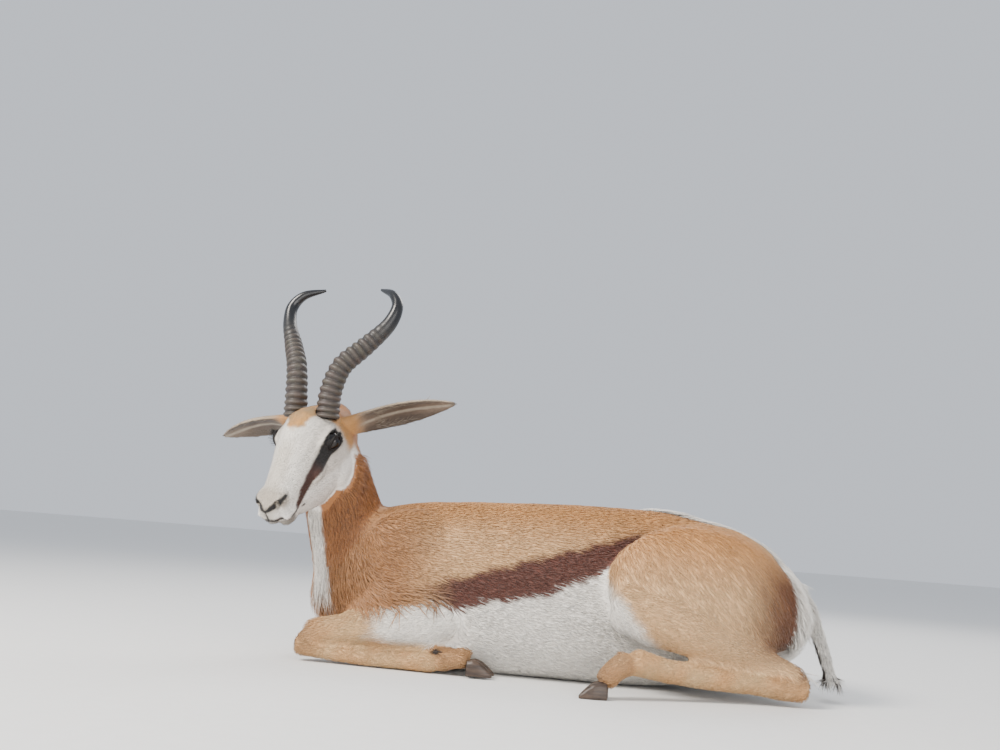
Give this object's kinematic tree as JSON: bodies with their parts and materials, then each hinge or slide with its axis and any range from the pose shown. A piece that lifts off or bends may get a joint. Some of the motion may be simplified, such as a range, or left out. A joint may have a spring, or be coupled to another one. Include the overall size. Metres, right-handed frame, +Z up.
{
  "type": "springbok model",
  "caption": "Life-size still model of a springbok ram lying on its breastbone, head raised and turned to its left, lyre horns, ears spread, legs folded.",
  "frame": {"origin": "on the floor under the middle of the trunk, where the belly rests", "axes": "+X from the chest to the tail, -Y to the animal's left side, +Z up"},
  "size_m": [1.0698, 0.488, 0.6175],
  "materials": {
    "fawn_coat": "short fawn fur with a dark flank band and white belly",
    "white_coat": "short white fur with a dark tuft",
    "ear_coat": "thin short fur, dark at the rim, white inside",
    "horn": "ringed keratin, smooth and glossy at the tip",
    "hoof": "satin dark keratin",
    "eye": "polished dark brown"
  },
  "bodies": {
    "root": {"head": "fawn_coat", "eye_left": "eye", "horn_left": "horn", "ear_left": "ear_coat", "eye_right": "eye", "horn_right": "horn", "ear_right": "ear_coat", "thigh_left": "fawn_coat", "gaskin_left": "fawn_coat", "hind_cannon_left": "fawn_coat", "forearm_left": "fawn_coat", "fore_cannon_left": "fawn_coat", "hoof_hind_left_outer": "hoof", "hoof_hind_left_inner": "hoof", "hind_pastern_left": "fawn_coat", "hoof_fore_left_outer": "hoof", "hoof_fore_left_inner": "hoof", "fore_pastern_left": "fawn_coat", "thigh_right": "fawn_coat", "gaskin_right": "fawn_coat", "hind_cannon_right": "fawn_coat", "forearm_right": "fawn_coat", "fore_cannon_right": "fawn_coat", "hoof_hind_right_outer": "hoof", "hoof_hind_right_inner": "hoof", "hind_pastern_right": "fawn_coat", "hoof_fore_right_outer": "hoof", "hoof_fore_right_inner": "hoof", "fore_pastern_right": "fawn_coat", "trunk": "fawn_coat", "neck": "fawn_coat", "tail": "white_coat"}
  },
  "joints": []
}
